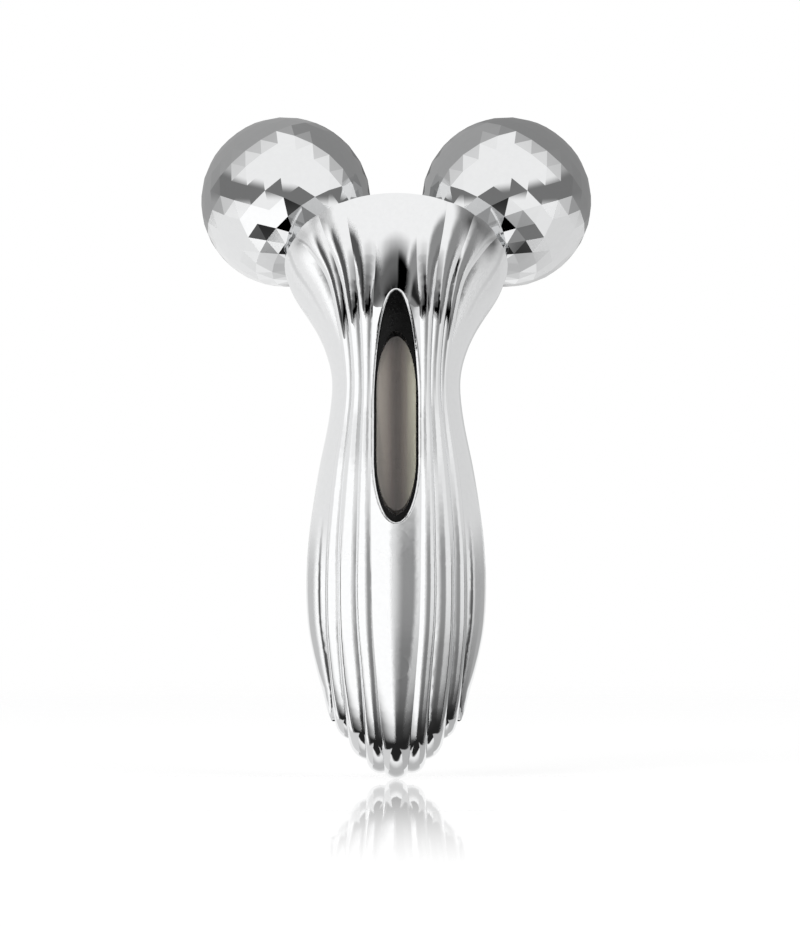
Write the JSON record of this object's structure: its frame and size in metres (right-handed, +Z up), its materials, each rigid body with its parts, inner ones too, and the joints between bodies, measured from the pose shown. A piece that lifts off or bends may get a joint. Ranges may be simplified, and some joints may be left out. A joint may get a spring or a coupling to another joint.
{
  "type": "facial roller",
  "caption": "Handheld facial roller: a fluted chrome handle with a light-powered panel in an oval window, and faceted balls that spin on splayed axles.",
  "frame": {"origin": "the lowest point of the handle's tip", "axes": "+Z up the handle to the balls, -Y out of the window, +X to the viewer's right from the front"},
  "size_m": [0.093, 0.0578, 0.1572],
  "materials": {
    "plated_chrome": "mirror plated",
    "tray_black": "gloss black",
    "clear_lens": "clear polished",
    "panel_cell": "satin brown",
    "seal_rubber": "matt black",
    "cast_block": "as cast",
    "steel": "turned",
    "core_plastic": "moulded",
    "bearing_plastic": "moulded",
    "frame_plastic": "moulded",
    "board_green": "solder mask",
    "component_black": "moulded",
    "lead_sleeve": "extruded",
    "contact_brass": "rolled"
  },
  "bodies": {
    "handle": {"handle_front_shell": "plated_chrome", "handle_back_shell": "plated_chrome", "head_cover": "plated_chrome", "left_axle_collar": "plated_chrome", "right_axle_collar": "plated_chrome", "panel_tray": "tray_black", "panel_lens": "clear_lens", "solar_panel": "panel_cell", "cover_gasket": "seal_rubber", "left_axle_seal": "seal_rubber", "right_axle_seal": "seal_rubber", "axle_block": "cast_block", "left_axle": "steel", "right_axle": "steel", "left_stop_ring": "steel", "right_stop_ring": "steel", "axle_set_screws": "steel", "frame_screws": "steel", "block_screws": "steel", "board_screws": "steel", "inner_frame": "frame_plastic", "circuit_board": "board_green", "board_components": "component_black", "panel_leads": "lead_sleeve", "axle_lead": "lead_sleeve", "shell_contact": "contact_brass"},
    "left_ball": {"left_ball_shell": "plated_chrome", "left_ball_core": "core_plastic", "left_ball_bearing": "bearing_plastic"},
    "right_ball": {"right_ball_shell": "plated_chrome", "right_ball_core": "core_plastic", "right_ball_bearing": "bearing_plastic"}
  },
  "joints": [
    {"name": "left_ball_spin", "type": "hinge", "parent": "handle", "child": "left_ball", "pos_m": [-0.0263, 0.01139, 0.13701], "axis": [-0.5736, 0.4096, 0.7094], "continuous": true},
    {"name": "right_ball_spin", "type": "hinge", "parent": "handle", "child": "right_ball", "pos_m": [0.0263, 0.01139, 0.13701], "axis": [0.5736, 0.4096, 0.7094], "continuous": true}
  ]
}
